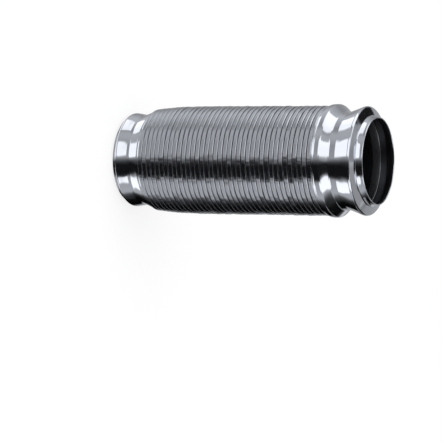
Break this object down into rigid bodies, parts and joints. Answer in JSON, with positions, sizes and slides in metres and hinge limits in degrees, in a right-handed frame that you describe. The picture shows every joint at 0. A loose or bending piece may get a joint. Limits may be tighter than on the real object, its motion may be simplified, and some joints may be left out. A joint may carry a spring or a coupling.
{
  "type": "flexible metal bellows",
  "caption": "Round stainless steel flexible bellows for a pipe line: a finely corrugated tube between two roll-formed cuffs, with a wound liner inside.",
  "frame": {"origin": "centre of the narrow mouth's edge, on which the bellows stands", "axes": "+Z along the bellows' axis, from the narrow mouth to the wide one; X and Y are any two directions across it"},
  "size_m": [0.1364, 0.1364, 0.3301],
  "materials": {
    "bright_corrugated_sheet": "bright annealed thin stainless sheet, hydroformed into fine round folds",
    "polished_cuff_sheet": "roll-formed stainless sheet polished to a mirror",
    "rolled_liner_strip": "cold rolled stainless strip and pressed rings, plain mill finish"
  },
  "bodies": {
    "narrow_end": {"narrow_cuff": "polished_cuff_sheet", "narrow_liner_ring": "rolled_liner_strip", "bellows": "bright_corrugated_sheet", "liner": "rolled_liner_strip"},
    "wide_end": {"wide_cuff": "polished_cuff_sheet", "wide_liner_ring": "rolled_liner_strip"}
  },
  "joints": [
    {"name": "axial_flex", "type": "slide", "parent": "narrow_end", "child": "wide_end", "axis": [0, 0, 1], "range_m": [-0.015, 0.012], "stiffness_N_per_m": 30000, "deforming": ["bellows", "liner"]}
  ]
}
